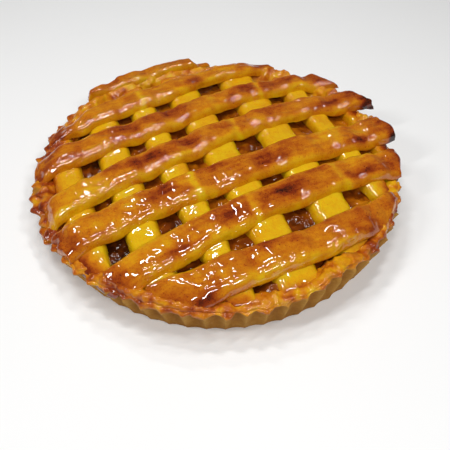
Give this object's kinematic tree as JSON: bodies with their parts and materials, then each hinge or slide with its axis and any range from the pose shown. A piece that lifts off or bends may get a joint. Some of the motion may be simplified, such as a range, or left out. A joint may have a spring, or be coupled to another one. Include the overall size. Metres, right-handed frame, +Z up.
{
  "type": "apple pie",
  "caption": "Round lattice-top apple pie with a fluted shortcrust side and glazed pastry strips laid crosswise over a dark apple filling.",
  "frame": {"origin": "centre of the crust's flat underside, on the pie's axis", "axes": "+Z up along the pie's axis, from the flat underside to the lattice; +Y away from the viewer and +X to the right in the picture, so that the upper strips run 24 degrees anticlockwise from +X"},
  "size_m": [0.2368, 0.2369, 0.0365],
  "materials": {
    "crust": "matt baked shortcrust",
    "filling": "glossy cooked apple in syrup",
    "pale_pastry": "glazed yellow pastry, little browned",
    "browned_pastry": "glazed golden brown pastry"
  },
  "bodies": {
    "root": {"crust": "crust", "filling": "filling", "lower_strip_1": "pale_pastry", "lower_strip_2": "pale_pastry", "lower_strip_3": "pale_pastry", "lower_strip_4": "pale_pastry", "lower_strip_5": "pale_pastry", "lower_strip_6": "pale_pastry", "lower_strip_7": "pale_pastry", "upper_strip_1": "browned_pastry", "upper_strip_2": "browned_pastry", "upper_strip_3": "browned_pastry", "upper_strip_4": "browned_pastry", "upper_strip_5": "browned_pastry", "upper_strip_6": "browned_pastry", "upper_strip_7": "browned_pastry"}
  },
  "joints": []
}
